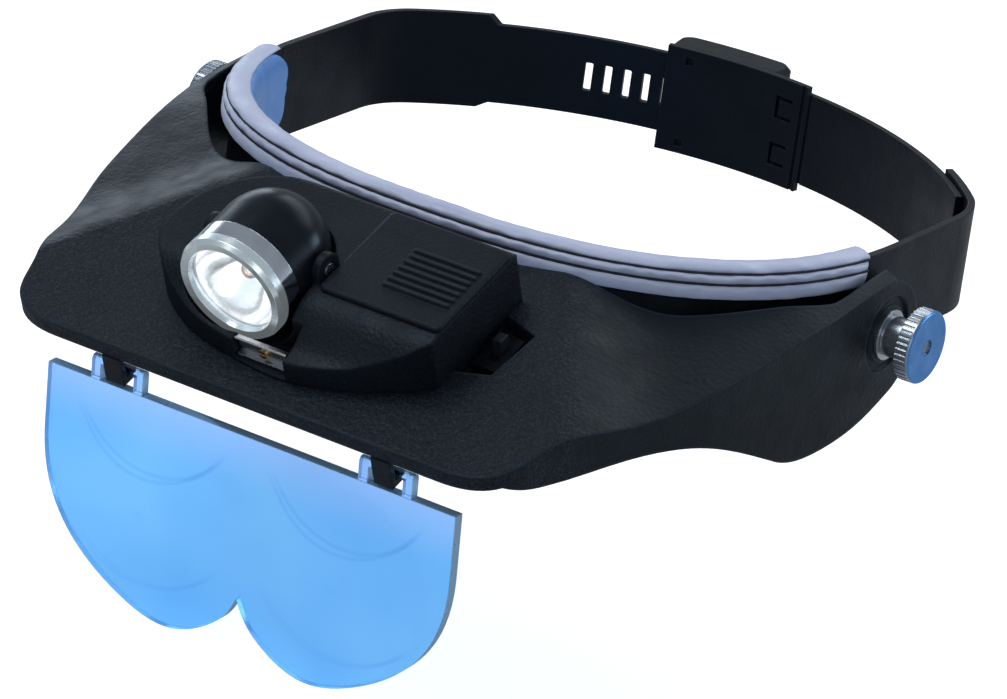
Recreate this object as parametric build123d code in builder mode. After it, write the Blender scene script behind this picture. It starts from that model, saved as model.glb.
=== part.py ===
"""Head visor magnifier: a padded head band, a tilting visor, a hung lens plate and a lamp.

Millimetres. +X is the wearer's left, the wearer faces -Y and +Z is up.  The origin is the
middle of the visor's pivot axis.  Everything that rides on the visor is drawn with the
visor level and is then posed with visor_pose, which leans it forward by visor_tilt.
"""

from build123d import *

import os
from math import cos, radians, sin, tan

# ---------------------------------------------------------------- driving sizes
visor_tilt = 23.1

# head band, seen from above: a superellipse in front and a round back
ring_half_width = 86.4
ring_middle_y = 17.0
ring_front_inner = -60.2
ring_power = 2.45
rear_centre = -14.0
rear_radius = 107.0
rear_corner_angle = 49.6
band_wall = 1.8
band_low = -7.5
band_high = 17.5
tongue_low = -6.0
tongue_high = 15.0
step_angle = 39.5
tongue_tip_angle = -1.0
slot_pitch = 2.7

# pivots
lug_radius = 9.5
lug_face = 90.4
arm_inner = 91.5
arm_outer = 94.5
shank_radius = 2.0
running_gap = 0.06

# visor
plate_top = 38.0
plate_wall = 2.5
cheek_wall = 3.0
lip_low = 34.0
visor_front = -122.0
side_bend_y = -10.0

# light module and lamp
module_floor = plate_top + 0.05
module_top = 52.0
module_right = 38.8
lamp_centre = (-11.8, -91.0, 53.6)
lamp_radius = 14.0
lamp_lowest_dip = 4.0
lamp_dip = 2.0
cell_radius = 6.0
cell_length = 30.2
cell_height = 45.75
cell_rows = (-88.5, -75.9)
bay_left = 5.5
bay_right = 37.7
bay_front = -94.8
bay_back = -69.6

# lens plate
rod_y = -119.5
rod_z = 29.2
rod_radius = 1.2
lens_lean = 18.8
lens_wall = 2.8
tab_centre = 38.0
tab_half_width = 7.4

os.makedirs("parts", exist_ok=True)

visor_pose = Location((0, 0, 0), (visor_tilt, 0, 0))


def write_piece(piece, name, pose=None):
    """Label a finished piece, pose it with the visor if asked, and write its STEP file."""
    if pose is not None:
        piece.part.locate(pose)
    piece.part.label = name
    export_step(piece.part, f"parts/{name}.step")


def ring_front_point(angle, grow):
    """A point of the band's superellipse, grown outwards; angle 0 is +X and 90 is the front."""
    across = cos(radians(angle))
    ahead = sin(radians(angle))
    half_width = ring_half_width + grow
    half_depth = ring_middle_y - ring_front_inner + grow
    x = half_width * abs(across) ** (2 / ring_power) * (1 if across >= 0 else -1)
    return (x, ring_middle_y - half_depth * abs(ahead) ** (2 / ring_power))


def rear_point(radius, angle):
    """A point on a circle about the rear centre; angle 0 is straight back, positive to +X."""
    turn = radians(angle)
    return (radius * sin(turn), rear_centre + radius * cos(turn))


def ring_front_line(grow, start=0, stop=180, steps=24):
    """The front half of the ring as one smooth curve from +X round the front to -X."""
    points = [ring_front_point(start + (stop - start) * i / steps, grow) for i in range(steps + 1)]
    if start == 0 and stop == 180:
        return Spline(*points, tangents=((0, -1), (0, 1)))
    return Spline(*points)


def ring_face(grow):
    """The whole area inside the ring's line, grown outwards."""
    half_width = ring_half_width + grow
    radius = rear_radius + grow
    corner = rear_point(radius, rear_corner_angle)
    turn = radians(rear_corner_angle)
    corner_radius = (half_width - radius * sin(turn)) / (1 - sin(turn))
    corner_y = rear_centre + (radius - corner_radius) * cos(turn)
    middle = radians((rear_corner_angle + 90) / 2)
    corner_x = half_width - corner_radius
    knee = (corner_x + corner_radius * sin(middle), corner_y + corner_radius * cos(middle))
    with BuildSketch() as area:
        with BuildLine():
            ring_front_line(grow)
            Line((-half_width, ring_middle_y), (-half_width, corner_y))
            ThreePointArc((-half_width, corner_y), (-knee[0], knee[1]), (-corner[0], corner[1]))
            ThreePointArc((-corner[0], corner[1]), (0, rear_centre + radius), corner)
            ThreePointArc(corner, knee, (half_width, corner_y))
            Line((half_width, corner_y), (half_width, ring_middle_y))
        make_face()
    return area.sketch


def rear_wedge(start, stop, reach=150.0):
    """A slice of the area behind the rear centre, between two angles."""
    with BuildSketch() as area:
        with BuildLine():
            Polyline(
                (0, rear_centre),
                rear_point(reach, start),
                rear_point(reach, (start + stop) / 2),
                rear_point(reach, stop),
                (0, rear_centre),
            )
        make_face()
    return area.sketch


def rear_arc_face(inner, outer, start, stop):
    """A curved strip about the rear centre."""
    middle = (start + stop) / 2
    with BuildSketch() as area:
        with BuildLine():
            ThreePointArc(rear_point(outer, start), rear_point(outer, middle), rear_point(outer, stop))
            Line(rear_point(outer, stop), rear_point(inner, stop))
            ThreePointArc(rear_point(inner, stop), rear_point(inner, middle), rear_point(inner, start))
            Line(rear_point(inner, start), rear_point(outer, start))
        make_face()
    return area.sketch


def rear_radial_plane(angle, height):
    """A plane facing outwards at the rear, its X running towards +X along the strap."""
    turn = radians(angle)
    outward = (sin(turn), cos(turn), 0)
    return Plane(origin=(0, rear_centre, height), x_dir=(-cos(turn), sin(turn), 0), z_dir=outward)


def side_plane(x):
    """A plane across X, with local X along +Y and local Y along +Z."""
    return Plane(origin=(x, 0, 0), x_dir=(0, 1, 0), z_dir=(1, 0, 0))


# ---------------------------------------------------------------- head band
slot_half_width = 1.0
slot_low = 0.6
slot_high = 8.2
slot_count = 9
first_slot_angle = -24.85
shoulder_x = -66.0
with BuildPart() as head_band:
    with BuildSketch(Plane.XY.offset(band_low)):
        add(ring_face(band_wall))
        add(ring_face(0), mode=Mode.SUBTRACT)
        add(rear_wedge(tongue_tip_angle, step_angle), mode=Mode.SUBTRACT)
    extrude(amount=band_high - band_low)
    # the slotted tongue is lower than the band, with slanted shoulders
    with BuildSketch(Plane.XZ.offset(-40)):
        for edge_height, above in ((tongue_high, 20), (tongue_low, -8.5)):
            corners = ((shoulder_x - 4, above), (shoulder_x, edge_height), (0, edge_height), (0, above))
            Polygon(*corners, align=None)
    extrude(amount=-80, mode=Mode.SUBTRACT)
    # pivot lugs
    for side in (-1, 1):
        with BuildSketch(side_plane(side * lug_face)):
            Circle(lug_radius)
        extrude(amount=-side * (lug_face - ring_half_width - 0.3))
    with BuildSketch(side_plane(-lug_face)):
        Circle(3.25)
    extrude(amount=2 * lug_face, mode=Mode.SUBTRACT)
    # adjusting slots
    for i in range(slot_count):
        slot_angle = first_slot_angle + slot_pitch * i
        with BuildSketch(rear_radial_plane(slot_angle, (slot_low + slot_high) / 2)):
            RectangleRounded(2 * slot_half_width, slot_high - slot_low, 0.4)
        extrude(amount=rear_radius + 10, mode=Mode.SUBTRACT)
write_piece(head_band, "head_band")

# brass inserts that the thumb screws turn in
insert_radius = 3.2
insert_inner = 87.2
with BuildPart() as pivot_inserts:
    for side in (-1, 1):
        with BuildSketch(side_plane(side * insert_inner)):
            Circle(insert_radius)
            Circle(shank_radius + running_gap, mode=Mode.SUBTRACT)
        extrude(amount=side * (lug_face - insert_inner - 0.1))
write_piece(pivot_inserts, "pivot_inserts")

# ---------------------------------------------------------------- comfort pad
pad_skin = 3.1
pad_outer_skin = 2.4
pad_gap = 0.12
pad_low = -6.0
pad_step_height = 17.0
pad_top = 19.2
pad_flap_low = 11.0
pad_step_reach = 2.2
with BuildPart() as comfort_pad:
    with BuildSketch(Plane.XY.offset(pad_low)):
        with BuildLine():
            outer = ring_front_line(band_wall + pad_outer_skin, 3.4, 176.6)
            inner = ring_front_line(-pad_skin, 3.4, 176.6)
            Line(outer @ 0, inner @ 0)
            Line(outer @ 1, inner @ 1)
        make_face()
    extrude(amount=pad_top - pad_low)
    # the slit that straddles the band, open at the bottom
    with BuildSketch(Plane.XY.offset(pad_low)):
        add(ring_face(band_wall + pad_gap))
        add(ring_face(-pad_gap), mode=Mode.SUBTRACT)
    extrude(amount=band_high + 0.05 - pad_low, mode=Mode.SUBTRACT)
    # the outer flap is lower than the fold over the band's edge
    with BuildSketch(Plane.XY.offset(pad_step_height)):
        Rectangle(250, 250)
        add(ring_face(pad_step_reach), mode=Mode.SUBTRACT)
    extrude(amount=10, mode=Mode.SUBTRACT)
    # the outer flap stops short of the pivot lugs and ends above them
    for side in (-1, 1):
        with BuildSketch(Plane.XY.offset(pad_low - 1)):
            with Locations((side * (ring_half_width + 10), 0)):
                Rectangle(20, 21)
        extrude(amount=pad_flap_low - pad_low + 1, mode=Mode.SUBTRACT)
        with BuildSketch(Plane.XY.offset(pad_flap_low)):
            with Locations((side * (ring_half_width + 10), 4.25)):
                Rectangle(20, 12.5)
        extrude(amount=20, mode=Mode.SUBTRACT)
    with BuildSketch(Plane.XY.offset(pad_low - 1)):
        with Locations((0, ring_middle_y)):
            Rectangle(2 * ring_half_width + 30, 28)
    extrude(amount=40, mode=Mode.SUBTRACT)
write_piece(comfort_pad, "comfort_pad")

# ---------------------------------------------------------------- rear strap and buckle
strap_inner = rear_radius - 2.0
strap_outer = rear_radius - 0.2
buckle_left = -14.0
plate_end_angle = 8.4
strap_end_angle = 48.2
buckle_low = -10.0
buckle_high = 18.0
strap_low = -7.5
strap_high = 16.4
with BuildPart() as rear_strap:
    with BuildSketch(Plane.XY.offset(buckle_low)):
        add(rear_arc_face(strap_inner, strap_outer, buckle_left, plate_end_angle))
    extrude(amount=buckle_high - buckle_low)
    with BuildSketch(Plane.XY.offset(strap_low)):
        add(rear_arc_face(strap_inner, strap_outer, plate_end_angle - 1, strap_end_angle))
    extrude(amount=strap_high - strap_low)
    # two upright grooves on the inner face beside the buckle plate
    for groove_angle in (plate_end_angle - 0.6, plate_end_angle + 0.7):
        with BuildSketch(rear_radial_plane(groove_angle, 5).offset(strap_inner - 1)):
            Rectangle(0.9, 60)
        extrude(amount=1.5, mode=Mode.SUBTRACT)
    # catch windows and small square holes in the buckle plate
    for catch_height in (-2.2, 10.2):
        with BuildSketch(rear_radial_plane(4.9, catch_height).offset(strap_inner - 1)):
            with Locations((2.2, 0)):
                Rectangle(1.0, 6.0)
            with Locations((0, 2.5), (0, -2.5)):
                Rectangle(4.6, 1.0)
        extrude(amount=2, mode=Mode.SUBTRACT)
    for hole_height in (-7.2, 14.8):
        with BuildSketch(rear_radial_plane(-10.6, hole_height).offset(strap_inner - 1)):
            Rectangle(2.0, 2.0)
        extrude(amount=2, mode=Mode.SUBTRACT)
write_piece(rear_strap, "rear_strap")

cover_inner = strap_outer + 0.03
cover_outer = 116.5
cover_right = 2.4
tongue_gap = 0.25
button_angle = -6.0
button_half_width = 5.0
button_half_height = 6.0
button_height = 4.5
with BuildPart() as buckle_cover:
    with BuildSketch(Plane.XY.offset(buckle_low)):
        add(rear_arc_face(cover_inner, cover_outer, buckle_left, cover_right))
    extrude(amount=buckle_high - buckle_low)
    outer_edges = buckle_cover.edges().filter_by(Axis.Z).sort_by(Axis.Y)[-2:]
    fillet(outer_edges, 4.5)
    rim_edges = buckle_cover.faces().sort_by(Axis.Z)[-1].edges().sort_by(Axis.Y)[-3:]
    chamfer(rim_edges, 1.2)
    # the channel that the tongue runs in
    with BuildSketch(Plane.XY.offset(tongue_low - tongue_gap)):
        channel_outer = rear_radius + band_wall + tongue_gap
        add(rear_arc_face(rear_radius - 1, channel_outer, buckle_left - 2, cover_right + 2))
    extrude(amount=tongue_high - tongue_low + 2 * tongue_gap, mode=Mode.SUBTRACT)
    # the well of the release button, with a slot for its tooth
    button_plane = rear_radial_plane(button_angle, button_height)
    with BuildSketch(button_plane.offset(rear_radius + 4.2)):
        Rectangle(2 * button_half_width + 0.2, 2 * button_half_height + 0.2)
    extrude(amount=20, mode=Mode.SUBTRACT)
    with BuildSketch(button_plane.offset(rear_radius + 1)):
        Rectangle(2.0, 6.6)
    extrude(amount=5, mode=Mode.SUBTRACT)
write_piece(buckle_cover, "buckle_cover")

button_travel = 1.4
button_back = rear_radius + 4.2 + button_travel + 0.2
with BuildPart() as release_button:
    with BuildSketch(button_plane.offset(button_back)):
        RectangleRounded(2 * button_half_width, 2 * button_half_height, 1.2)
    extrude(amount=4.6)
    fillet(release_button.faces().sort_by(Axis.Y)[-1].edges(), 0.8)
    for groove in (-2.5, 0, 2.5):
        with BuildSketch(button_plane.offset(button_back + 4.2)):
            with Locations((groove, 0)):
                Rectangle(0.8, 8)
        extrude(amount=2, mode=Mode.SUBTRACT)
    # the tooth that reaches down to the tongue
    with BuildSketch(button_plane.offset(rear_radius + band_wall + 0.3 + button_travel)):
        Rectangle(1.7, 6.2)
    extrude(amount=button_back - rear_radius - band_wall - 0.2 - button_travel)
write_piece(release_button, "release_button")

spring_wire = 0.25
spring_height = 1.3
with BuildPart() as button_springs:
    for spring_offset in (-3.2, 3.2):
        spring_plane = rear_radial_plane(button_angle, button_height).offset(rear_radius + 4.24 + spring_wire)
        foot = spring_plane.from_local_coords((spring_offset, 0, 0))
        with BuildLine() as coil:
            Helix(
                pitch=0.7,
                height=spring_height - 2 * spring_wire,
                radius=1.2,
                center=foot,
                direction=spring_plane.z_dir,
            )
        with BuildSketch(Plane(origin=coil.line @ 0, z_dir=coil.line % 0)):
            Circle(spring_wire)
        sweep(path=coil.line, is_frenet=True)
write_piece(button_springs, "button_springs")

# ---------------------------------------------------------------- thumb screws and washers
washer_wall = 0.8
collar_radius = 5.0
collar_end = 101.6
knob_radius = 9.0
knob_end = 105.5
knurl_count = 40
screw_tip = 87.6


def thumb_screw(side):
    """A knurled thumb screw with a collar and a plain shank."""
    with BuildPart() as screw:
        with BuildSketch(side_plane(side * screw_tip)):
            Circle(shank_radius)
        extrude(amount=side * (collar_end - screw_tip))
        with BuildSketch(side_plane(side * (arm_outer + 0.1 + washer_wall))):
            Circle(collar_radius)
        extrude(amount=side * (collar_end - arm_outer - 0.1 - washer_wall))
        with BuildSketch(side_plane(side * collar_end)):
            Circle(knob_radius)
        extrude(amount=side * (knob_end - collar_end))
        face_edges = screw.faces().sort_by(Axis.X)[-1 if side > 0 else 0].edges()
        fillet(face_edges, 0.7)
        with BuildSketch(side_plane(side * collar_end)):
            with PolarLocations(knob_radius, knurl_count):
                Circle(0.32)
        extrude(amount=side * (knob_end - collar_end - 0.8), mode=Mode.SUBTRACT)
        # a shallow dished mark in the middle of the face
        with BuildSketch(side_plane(side * knob_end)):
            Circle(1.9)
        extrude(amount=-side * 0.4, mode=Mode.SUBTRACT)
    return screw


def captive_washer(side):
    """The washer held under the thumb screw's collar."""
    with BuildPart() as washer:
        with BuildSketch(side_plane(side * (arm_outer + 0.05))):
            Circle(6.2)
            Circle(shank_radius + running_gap, mode=Mode.SUBTRACT)
        extrude(amount=side * washer_wall)
    return washer


write_piece(thumb_screw(1), "thumb_screw_left")
write_piece(thumb_screw(-1), "thumb_screw_right")
write_piece(captive_washer(1), "collar_washer_left")
write_piece(captive_washer(-1), "collar_washer_right")

with BuildPart() as friction_washers:
    for side in (-1, 1):
        with BuildSketch(side_plane(side * (lug_face + 0.08))):
            Circle(8.4)
            Circle(shank_radius + 0.4, mode=Mode.SUBTRACT)
        extrude(amount=side * (arm_inner - lug_face - 0.16))
write_piece(friction_washers, "friction_washers")


# ---------------------------------------------------------------- visor
def visor_outline(inset):
    """The visor seen from above, drawn level; inset moves the line inwards."""
    side_x = arm_outer - inset
    corner_y = -104.0
    corner_x = 72.9 - inset
    bow = [
        (corner_x, corner_y),
        (80.3 - inset, -84),
        (87.2 - inset, -63),
        (91.8 - inset, -38),
        (side_x, side_bend_y),
    ]
    corner_lean = 0.4
    front = visor_front + inset
    half_front = 54.0 - 0.4 * inset
    knee = (68.6 - 0.85 * inset, -116.0 + 0.75 * inset)
    tail = 40.0 if inset else 20.0
    with BuildSketch() as area:
        with BuildLine():
            Spline(*bow, tangents=((corner_lean, 1), (0, 1)))
            Polyline((side_x, side_bend_y), (side_x, tail), (-side_x, tail), (-side_x, side_bend_y))
            Spline(*[(-x, y) for x, y in reversed(bow)], tangents=((0, -1), (corner_lean, -1)))
            Spline(
                (-corner_x, corner_y),
                (-knee[0], knee[1]),
                (-half_front, front),
                tangents=((corner_lean, -1), (1, 0)),
            )
            Line((-half_front, front), (half_front, front))
            Spline(
                (half_front, front),
                knee,
                (corner_x, corner_y),
                tangents=((1, 0), (corner_lean, 1)),
            )
        make_face()
    return area.sketch


crease_points = (
    (8, 38),
    (16, 35),
    (24, 30.8),
    (32.3, 28),
    (40.7, 26.5),
    (49, 24.8),
    (58.2, 23),
    (66.9, 20.5),
    (75.8, 17),
    (92, 9),
)


def side_drop(side, lower=0.0):
    """The space above the visor's falling sides, as a solid that is cut away."""
    ahead = 0.53
    aside = 0.848
    plane = Plane(origin=(0, 0, -lower), x_dir=(side * aside, ahead, 0), z_dir=(side * ahead, -aside, 0))
    with BuildPart(mode=Mode.PRIVATE) as drop:
        with BuildSketch(plane if side > 0 else Plane(plane.origin, x_dir=plane.x_dir, z_dir=-plane.z_dir)):
            with BuildLine():
                crease = Spline(*crease_points, tangents=((1, -0.12), (1, -0.35)))
                Polyline(crease @ 1, (92, 70), (8, 70), crease @ 0)
            make_face()
        extrude(amount=170, both=True)
    return drop.part


cheek_front = (-117.0, lip_low)
with BuildPart() as visor_shell:
    with BuildSketch(Plane.XY.offset(-25)):
        add(visor_outline(0))
    extrude(amount=plate_top + 25)
    # the cheeks' lower edge and the arms' round ends, seen from the side
    with BuildSketch(side_plane(-100)):
        with BuildLine():
            Polyline((-126, plate_top + 1), (-126, lip_low), cheek_front)
            cheek_fall = ((-108, 28.6), (-95, 24.8), (-82.5, 21.2), (-68.4, 14.6), (-53.1, 2), (-45.8, -5.3))
            cheek = Spline(cheek_front, *cheek_fall)
            jowl = Spline(cheek @ 1, (-37, -11.5), (-29, -14), (-14, -16.4), (-2, -16.8))
            ThreePointArc(jowl @ 1, (13.5, -3), (6, 12))
            Polyline((6, 12), (6, plate_top + 1), (-126, plate_top + 1))
        make_face()
    extrude(amount=200, mode=Mode.INTERSECT)
    add(side_drop(1), mode=Mode.SUBTRACT)
    add(side_drop(-1), mode=Mode.SUBTRACT)
with BuildPart() as visor_hollow:
    with BuildSketch(Plane.XY.offset(-30)):
        add(visor_outline(cheek_wall))
    extrude(amount=plate_top - plate_wall + 30)
    add(side_drop(1, plate_wall), mode=Mode.SUBTRACT)
    add(side_drop(-1, plate_wall), mode=Mode.SUBTRACT)

screw_spots = ((-33.0, -77.0), (-33.5, -97.0), (18.0, -105.5))
switch_pocket = ((36.0, -70.0), (48.5, -74.0), (47.0, -90.0), (38.0, -93.0))
opening_end = (arm_inner - 0.5, side_bend_y - 5.0)
opening_half = (
    opening_end,
    (85.5, -22.5),
    (79, -30.2),
    (72, -38.3),
    (62.6, -45.7),
    (50, -50),
    (25, -55.8),
    (0, -57.4),
)
head_opening = opening_half + tuple((-x, y) for x, y in opening_half[-2::-1])
pocket_floor = 32.6
with visor_shell:
    add(visor_hollow.part, mode=Mode.SUBTRACT)
    # the opening for the head
    with BuildSketch(Plane.XY.offset(-40)):
        with BuildLine():
            Spline(*head_opening, tangents=((-0.4, -1), (-0.4, 1)))
            Polyline(
                head_opening[-1],
                (-arm_inner, side_bend_y),
                (-arm_inner, 60),
                (arm_inner, 60),
                (arm_inner, side_bend_y),
                opening_end,
            )
        make_face()
    extrude(amount=100, mode=Mode.SUBTRACT)
    # the tray under the plate that holds the slide switch
    with BuildSketch(Plane.XY.offset(pocket_floor - 1.4)):
        Polygon(*switch_pocket, align=None)
        offset(amount=1.4, kind=Kind.INTERSECTION)
    extrude(amount=plate_top - 1 - pocket_floor + 1.4)
    with BuildSketch(Plane.XY.offset(pocket_floor)):
        Polygon(*switch_pocket, align=None)
    extrude(amount=20, mode=Mode.SUBTRACT)
    # screw holes and pivot holes
    with BuildSketch(Plane.XY.offset(30)):
        with Locations(*screw_spots):
            Circle(1.08)
    extrude(amount=10, mode=Mode.SUBTRACT)
    with BuildSketch(side_plane(-100)):
        Circle(shank_radius + running_gap)
    extrude(amount=200, mode=Mode.SUBTRACT)
    # a ring-shaped recess round each pivot
    for side in (-1, 1):
        with BuildSketch(side_plane(side * arm_outer)):
            Circle(9.4)
            Circle(7.2, mode=Mode.SUBTRACT)
        extrude(amount=-side * 0.8, mode=Mode.SUBTRACT)
write_piece(visor_shell, "visor_shell", visor_pose)

# ---------------------------------------------------------------- lens hooks and lens plate
hook_half_width = 2.6
hook_reach = 2.8
with BuildPart() as lens_hooks:
    for hook_x in (-tab_centre, tab_centre):
        with BuildSketch(side_plane(hook_x - hook_half_width)):
            Polygon(
                (rod_y - hook_reach, lip_low - 0.02),
                (rod_y - hook_reach, rod_z - 3.0),
                (rod_y + 2.3, rod_z - 3.0),
                (rod_y + 2.3, rod_z - 0.8),
                (rod_y + 1.4, rod_z - 0.8),
                (rod_y + 1.4, rod_z - rod_radius - 0.15),
                (rod_y - 1.35, rod_z - rod_radius - 0.15),
                (rod_y - 1.35, lip_low - 0.02),
                align=None,
            )
        extrude(amount=2 * hook_half_width)
write_piece(lens_hooks, "lens_hooks", visor_pose)

lens_up = (0, sin(radians(lens_lean)), cos(radians(lens_lean)))
lens_out = (0, -cos(radians(lens_lean)), sin(radians(lens_lean)))
lens_plane = Plane(origin=(0, rod_y, rod_z), x_dir=(1, 0, 0), z_dir=lens_out)
lens_top = -4.7
lens_drop = 55.8
lens_bulge = 120.0


def lens_outline(inset=0.0):
    """Two round lobes that meet at a notch over the nose."""
    top = lens_top - inset
    side = 57.7 - inset
    low = lens_top - lens_drop
    with BuildSketch(Plane.XY) as area:
        with BuildLine() as half:
            Line((0, top), (side, top))
            Line((side, top), (side, top - 16))
            Spline(
                (side, top - 16),
                (50.6 - inset * 0.9, low + 16.5 + inset * 0.3),
                (32 - inset * 0.5, low + 2.6 + inset * 0.9),
                (17.7, low + inset),
                (5 + inset, low + 6.6 + inset),
                (0, low + 14.2 + inset),
                tangents=((0, -1), (-0.45, 1)),
            )
            mirror(about=Plane.YZ)
        make_face()
    return area.sketch


with BuildPart() as lens_level:
    with BuildSketch(Plane.XY.offset(-lens_wall / 2)):
        add(lens_outline())
    extrude(amount=lens_wall)
    # the two tabs, each with a window that the hook passes through
    with BuildSketch(Plane.XY.offset(-rod_radius)):
        with Locations((-tab_centre, -4.2), (tab_centre, -4.2)):
            Rectangle(2 * tab_half_width, 8.4)
            Rectangle(2 * tab_half_width - 5.2, 20, mode=Mode.SUBTRACT)
    extrude(amount=2 * rod_radius)
    for tab_x in (-tab_centre, tab_centre):
        with BuildSketch(Plane.YZ.offset(tab_x - tab_half_width)):
            Circle(rod_radius)
        extrude(amount=2 * tab_half_width)
# each lobe is a shallow dome on the front face
dome_rise = 2.6
dome_x = 27.5
with BuildPart() as dome_balls:
    ball_y = lens_top - lens_drop / 2
    ball_z = lens_wall / 2 + dome_rise - lens_bulge
    with Locations((-dome_x, ball_y, ball_z), (dome_x, ball_y, ball_z)):
        Sphere(lens_bulge)
with BuildPart() as lens_domes:
    with BuildSketch(Plane.XY.offset(lens_wall / 2 - 0.5)):
        add(lens_outline(2.2))
    extrude(amount=dome_rise + 1)
    add(dome_balls.part, mode=Mode.INTERSECT)
with lens_level:
    add(lens_domes.part)
lens_pose = visor_pose * Location(lens_plane)
write_piece(lens_level, "lens_plate", lens_pose)

# ---------------------------------------------------------------- light module
lamp_x, lamp_y, lamp_z = lamp_centre
cup_radius = lamp_radius + 1.0
module_left = -41.0
module_back = -65.0
ear_inner = lamp_radius + 0.5
ear_outer = lamp_radius + 2.6
swing_radius = 21.9
pin_radius = 1.6
notch_left = -8.5
notch_right = 6.5
notch_back = -104.6
strip_back = -110.3
with BuildPart() as module_housing:
    with BuildSketch(Plane.XY.offset(module_floor)):
        with BuildLine():
            Spline(
                (module_left, lamp_y),
                (-35, -102.5),
                (-22, -109.8),
                (-6, -113.2),
                (10, -113.4),
                (22, -109.8),
                (34, -103.6),
                tangents=((0, -1), (1, 0.5)),
            )
            Polyline((34, -103.6), (module_right, -99.5), (module_right, module_back))
            Line((module_right, module_back), (-18.5, module_back))
            ThreePointArc((-18.5, module_back), (-34.5, -72.5), (module_left, lamp_y))
        make_face()
    extrude(amount=module_top - module_floor)
    # the top falls away towards the front
    with BuildSketch(side_plane(-60)):
        with BuildLine():
            Polyline((-60, 30), (-60, 50.6), (-66, module_top), (-95, module_top))
            Spline((-95, module_top), (-102, 50.2), (-108, 46), (-118, 43.6), tangents=((-1, 0), (-1, -0.1)))
            Polyline((-118, 43.6), (-118, 30), (-60, 30))
        make_face()
    extrude(amount=120, mode=Mode.INTERSECT)
    # ears for the lamp's pivot pins
    for side in (-1, 1):
        ear_start = lamp_x + side * ear_inner
        with BuildSketch(side_plane(ear_start)):
            with Locations((lamp_y, lamp_z)):
                Circle(4.0)
            with Locations((lamp_y, lamp_z - 5)):
                Rectangle(8.0, 10.0)
        extrude(amount=side * (ear_outer - ear_inner))
# the room that the lamp's body and its swinging front need
low_turn = radians(lamp_lowest_dip + 1)
under_z = lamp_z - cup_radius / cos(low_turn)
with BuildPart() as lamp_swing:
    with Locations(lamp_centre):
        Sphere(swing_radius)
    with BuildSketch(side_plane(lamp_x - cup_radius)):
        Polygon(
            (lamp_y, under_z),
            (lamp_y - 40, under_z - 40 * tan(low_turn)),
            (lamp_y - 40, lamp_z + 40),
            (lamp_y, lamp_z + 40),
            align=None,
        )
    extrude(amount=2 * cup_radius, mode=Mode.INTERSECT)
with BuildPart() as lamp_space:
    with Locations(lamp_centre):
        Sphere(cup_radius)
    add(lamp_swing.part)
with BuildPart() as ear_keep:
    for side in (-1, 1):
        with BuildSketch(side_plane(lamp_x + side * ear_inner)):
            with Locations((lamp_y, lamp_z - 3)):
                Rectangle(9.0, 16.0)
        extrude(amount=side * 3)
with lamp_space:
    add(ear_keep.part, mode=Mode.SUBTRACT)
with module_housing:
    add(lamp_space.part, mode=Mode.SUBTRACT)
    with BuildSketch(side_plane(lamp_x - ear_outer - 1)):
        with Locations((lamp_y, lamp_z)):
            Circle(pin_radius + running_gap)
    extrude(amount=2 * ear_outer + 2, mode=Mode.SUBTRACT)
    # the battery bay, open at the top under its cover
    with BuildSketch(Plane.XY.offset(cell_height - cell_radius - 0.15)):
        with Locations(((bay_left + bay_right) / 2, (bay_front + bay_back) / 2)):
            Rectangle(bay_right - bay_left, bay_back - bay_front)
    extrude(amount=30, mode=Mode.SUBTRACT)
    # the notch in the front wall
    with BuildSketch(Plane.XY.offset(module_floor + 0.8)):
        with Locations(((notch_left + notch_right) / 2, notch_back - 10)):
            Rectangle(notch_right - notch_left, 20)
    extrude(amount=20, mode=Mode.SUBTRACT)
    with BuildSketch(Plane.XY.offset(module_floor)):
        with Locations(*screw_spots):
            Circle(1.08)
    extrude(amount=4.6, mode=Mode.SUBTRACT)
write_piece(module_housing, "module_housing", visor_pose)

cover_front = -96.6
cover_back = -66.2
cover_left = 5.4
cover_wall = 1.2
rib_count = 7
with BuildPart() as battery_cover:
    with BuildSketch(Plane.XY.offset(module_top + 0.05)):
        with Locations(((cover_left + module_right) / 2, (cover_front + cover_back) / 2)):
            RectangleRounded(module_right - cover_left, cover_back - cover_front, 1.6)
    extrude(amount=cover_wall)
    fillet(battery_cover.faces().sort_by(Axis.Z)[-1].edges(), 0.6)
    for i in range(rib_count):
        with BuildSketch(Plane.XY.offset(module_top + 0.5)):
            with Locations((27.5, -89.0 + 2.17 * i)):
                SlotOverall(18.5, 1.0)
        extrude(amount=cover_wall + 0.15)
write_piece(battery_cover, "battery_cover", visor_pose)

cell_start = 2.2
with BuildPart() as battery_cells:
    for row_y in cell_rows:
        with BuildSketch(side_plane(bay_left + cell_start)):
            with Locations((row_y, cell_height)):
                Circle(cell_radius)
        extrude(amount=cell_length - 1.2)
        with BuildSketch(side_plane(bay_left + cell_start + cell_length - 1.2)):
            with Locations((row_y, cell_height)):
                Circle(1.9)
        extrude(amount=1.2 - 0.75)
write_piece(battery_cells, "battery_cells", visor_pose)

with BuildPart() as battery_contacts:
    for row_y in cell_rows:
        with BuildSketch(side_plane(bay_left + 0.1)):
            with Locations((row_y, cell_height)):
                Rectangle(8.5, 9)
        extrude(amount=0.4)
    with BuildSketch(side_plane(bay_right - 0.5)):
        with Locations(((bay_front + bay_back) / 2, cell_height)):
            Rectangle(21, 8)
    extrude(amount=0.4)
write_piece(battery_contacts, "battery_contacts", visor_pose)

contact_wire = 0.2
spring_start = 0.53 + contact_wire
with BuildPart() as contact_springs:
    for row_y in cell_rows:
        with BuildLine() as spiral:
            Helix(
                pitch=0.6,
                height=cell_start - 0.03 - contact_wire - spring_start,
                radius=3.0,
                center=(bay_left + spring_start, row_y, cell_height),
                direction=(1, 0, 0),
            )
        with BuildSketch(Plane(origin=spiral.line @ 0, z_dir=spiral.line % 0)):
            Circle(contact_wire)
        sweep(path=spiral.line, is_frenet=True)
write_piece(contact_springs, "contact_springs", visor_pose)

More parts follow.
